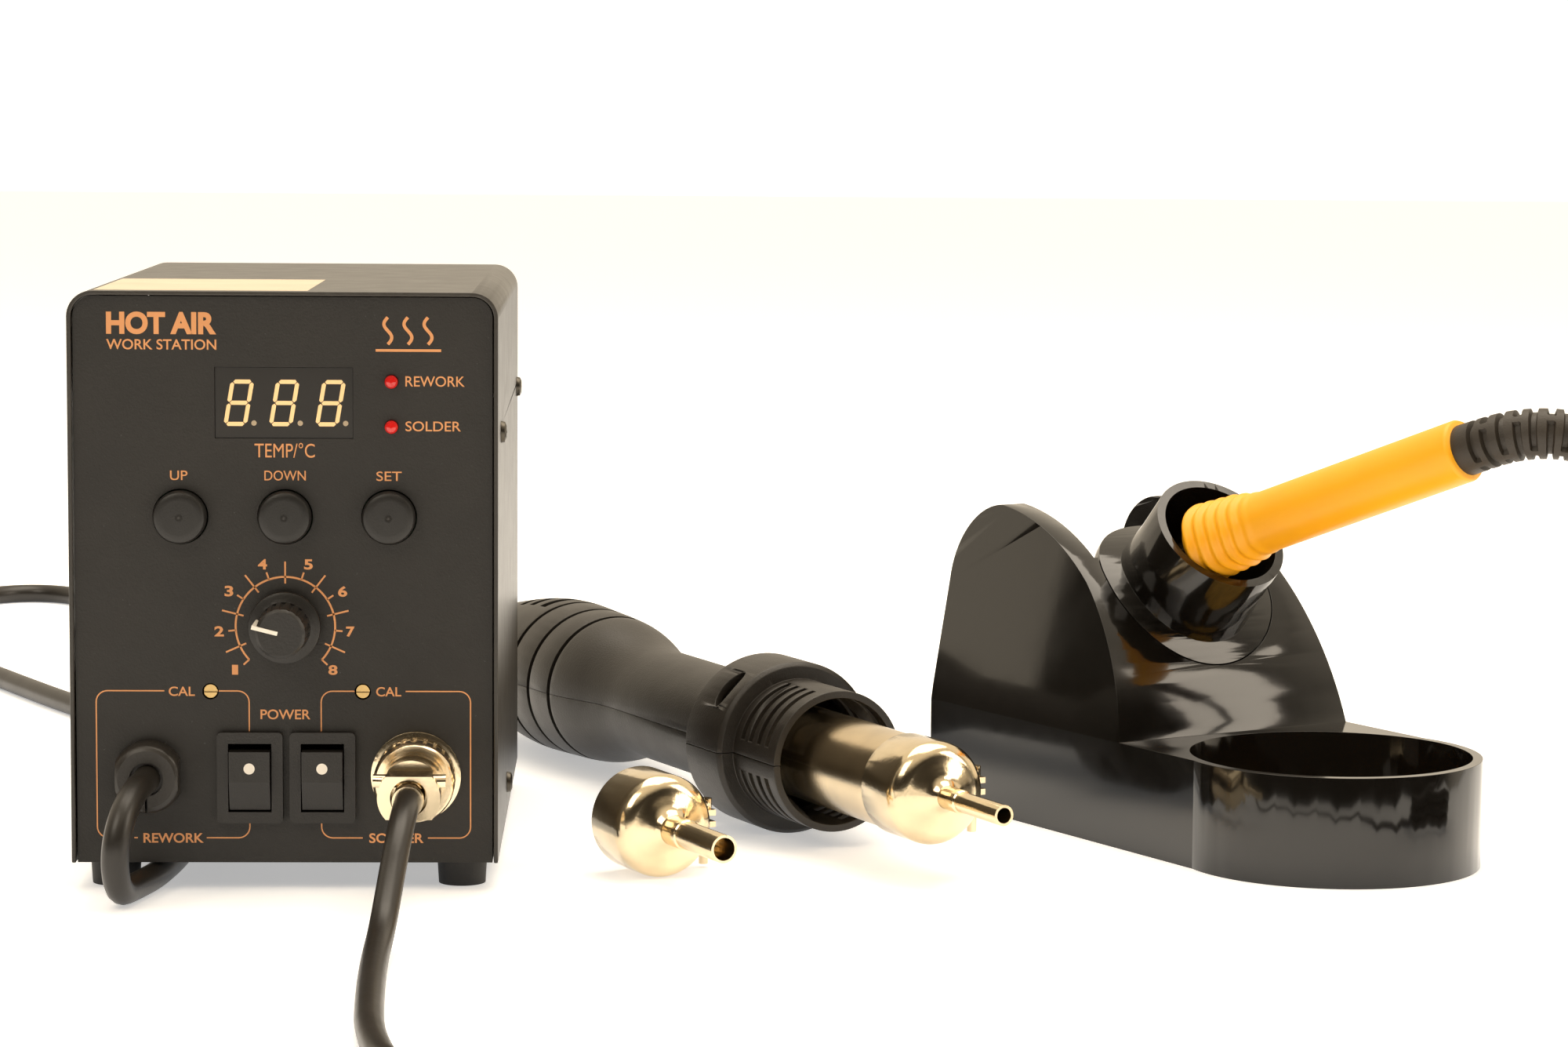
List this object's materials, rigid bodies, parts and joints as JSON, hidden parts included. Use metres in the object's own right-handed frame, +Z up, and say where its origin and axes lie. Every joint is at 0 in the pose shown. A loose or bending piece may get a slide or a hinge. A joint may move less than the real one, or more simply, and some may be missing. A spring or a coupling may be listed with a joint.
{
  "type": "hot air rework and soldering station",
  "caption": "Compact black workshop station with a hot air handpiece, a spare nozzle, and a soldering iron resting in a gloss stand.",
  "frame": {"origin": "middle of the whole kit's floor rectangle, cables left out, on the surface it stands on", "axes": "+X to the right across the panel, +Y back from the panel, +Z up"},
  "size_m": [0.5545, 0.7515, 0.1392],
  "materials": {
    "case_paint": "semi-gloss",
    "chassis_paint": "satin",
    "panel_paint": "satin",
    "zinc_screws": "satin",
    "foot_rubber": "matte",
    "smoked_window": "gloss",
    "circuit_board": "satin",
    "switch_body": "matte",
    "red_lamp": "gloss",
    "button_plastic": "satin",
    "pot_metal": "satin",
    "knob_plastic": "satin",
    "pointer_white": "satin",
    "trimmer_brass": "satin",
    "switch_plastic": "satin",
    "bushing_plastic": "satin",
    "plated_metal": "polished",
    "transformer_iron": "satin",
    "inlet_plastic": "gloss",
    "handle_plastic": "satin",
    "heater_steel": "polished",
    "mica": "matte",
    "heater_ceramic": "matte",
    "boot_rubber": "matte",
    "nozzle_steel": "polished",
    "nozzle_screws": "satin",
    "iron_handle_plastic": "satin",
    "tip_plating": "polished",
    "stand_plastic": "gloss",
    "sponge_cellulose": "matte",
    "cable_rubber": "satin"
  },
  "bodies": {
    "root": {"chassis_pan": "chassis_paint", "front_panel": "panel_paint", "case_cover": "case_paint", "case_screws": "zinc_screws", "feet": "foot_rubber", "display_module": "smoked_window", "control_board": "circuit_board", "tact_switches": "switch_body", "indicator_leds": "red_lamp", "air_potentiometer": "pot_metal", "cal_trimmers": "switch_body", "rework_switch_housing": "switch_plastic", "solder_switch_housing": "switch_plastic", "cable_bushing": "bushing_plastic", "iron_socket": "plated_metal", "iron_plug": "plated_metal", "transformer": "transformer_iron", "power_board": "circuit_board", "mains_inlet": "inlet_plastic", "stand_body": "stand_plastic", "iron_holder": "stand_plastic", "sponge": "sponge_cellulose", "gun_cable": "cable_rubber", "iron_cable_front": "cable_rubber", "iron_cable_coil": "cable_rubber"},
    "up_button": {"up_button": "button_plastic"},
    "down_button": {"down_button": "button_plastic"},
    "set_button": {"set_button": "button_plastic"},
    "air_knob": {"air_knob": "knob_plastic", "knob_pointer": "pointer_white"},
    "rework_cal_screw": {"rework_cal_screw": "trimmer_brass"},
    "solder_cal_screw": {"solder_cal_screw": "trimmer_brass"},
    "rework_rocker": {"rework_rocker": "switch_plastic"},
    "solder_rocker": {"solder_rocker": "switch_plastic"},
    "coupling_nut": {"plug_coupling_nut": "plated_metal"},
    "fuse_drawer": {"fuse_drawer": "inlet_plastic"},
    "handpiece": {"handle_upper_shell": "handle_plastic", "handle_lower_shell": "handle_plastic", "handle_screws": "zinc_screws", "guard_upper_half": "handle_plastic", "guard_lower_half": "handle_plastic", "fan_frame": "handle_plastic", "heater_tube": "heater_steel", "mica_sleeve": "mica", "heater_core": "heater_ceramic", "handle_cable_boot": "boot_rubber"},
    "fan_impeller": {"fan_impeller": "handle_plastic"},
    "hot_nozzle": {"hot_nozzle": "nozzle_steel"},
    "hot_nozzle_screw": {"hot_nozzle_screw": "nozzle_screws"},
    "spare_nozzle": {"spare_nozzle": "nozzle_steel"},
    "spare_nozzle_screw": {"spare_nozzle_screw": "nozzle_screws"},
    "iron": {"iron_handle": "iron_handle_plastic", "iron_shaft": "heater_steel", "iron_tip": "tip_plating", "iron_boot": "boot_rubber", "iron_cable_riser": "cable_rubber"}
  },
  "joints": [
    {"name": "up_press", "type": "slide", "parent": "root", "child": "up_button", "axis": [0, 1, 0], "range_m": [0, 0.0012], "stiffness_N_per_m": 400, "springref_m": -0.0005},
    {"name": "down_press", "type": "slide", "parent": "root", "child": "down_button", "axis": [0, 1, 0], "range_m": [0, 0.0012], "stiffness_N_per_m": 400, "springref_m": -0.0005},
    {"name": "set_press", "type": "slide", "parent": "root", "child": "set_button", "axis": [0, 1, 0], "range_m": [0, 0.0012], "stiffness_N_per_m": 400, "springref_m": -0.0005},
    {"name": "air_knob_turn", "type": "hinge", "parent": "root", "child": "air_knob", "pos_m": [-0.14102, -0.13215, 0.062], "axis": [0, 1, 0], "range_deg": [-57, 209]},
    {"name": "rework_cal_turn", "type": "hinge", "parent": "root", "child": "rework_cal_screw", "pos_m": [-0.15842, -0.12115, 0.0467], "axis": [0, 1, 0], "range_deg": [-135, 135]},
    {"name": "solder_cal_turn", "type": "hinge", "parent": "root", "child": "solder_cal_screw", "pos_m": [-0.12332, -0.12115, 0.0467], "axis": [0, 1, 0], "range_deg": [-135, 135]},
    {"name": "rework_rock", "type": "hinge", "parent": "root", "child": "rework_rocker", "pos_m": [-0.14932, -0.12155, 0.0267], "axis": [-1, 0, 0], "range_deg": [0, 18]},
    {"name": "solder_rock", "type": "hinge", "parent": "root", "child": "solder_rocker", "pos_m": [-0.13257, -0.12155, 0.0267], "axis": [-1, 0, 0], "range_deg": [0, 18]},
    {"name": "coupling_nut_turn", "type": "hinge", "parent": "root", "child": "coupling_nut", "pos_m": [-0.11102, -0.12915, 0.0271], "axis": [0, -1, 0], "continuous": true},
    {"name": "fuse_drawer_pull", "type": "slide", "parent": "root", "child": "fuse_drawer", "axis": [0, 1, 0], "range_m": [0, 0.018]},
    {"name": "handpiece_lift", "type": "slide", "parent": "root", "child": "handpiece", "axis": [0, 0, 1], "range_m": [0, 0.08]},
    {"name": "fan_spin", "type": "hinge", "parent": "handpiece", "child": "fan_impeller", "pos_m": [-0.07512, 0.0701, 0.0218], "axis": [0.4179, -0.9085, 0], "continuous": true},
    {"name": "hot_nozzle_pull", "type": "slide", "parent": "handpiece", "child": "hot_nozzle", "axis": [0.4179, -0.9085, 0], "range_m": [0, 0.03]},
    {"name": "hot_nozzle_screw_turn", "type": "hinge", "parent": "hot_nozzle", "child": "hot_nozzle_screw", "pos_m": [0.02009, -0.10196, 0.0218], "axis": [0, 0, 1], "continuous": true},
    {"name": "spare_nozzle_lift", "type": "slide", "parent": "root", "child": "spare_nozzle", "axis": [0, 0, 1], "range_m": [0, 0.15]},
    {"name": "spare_nozzle_screw_turn", "type": "hinge", "parent": "spare_nozzle", "child": "spare_nozzle_screw", "pos_m": [-0.04382, -0.09373, 0.0124], "axis": [0, 0, 1], "continuous": true},
    {"name": "iron_withdraw", "type": "slide", "parent": "root", "child": "iron", "axis": [0.6641, -0.6601, 0.3511], "range_m": [0, 0.1]}
  ]
}
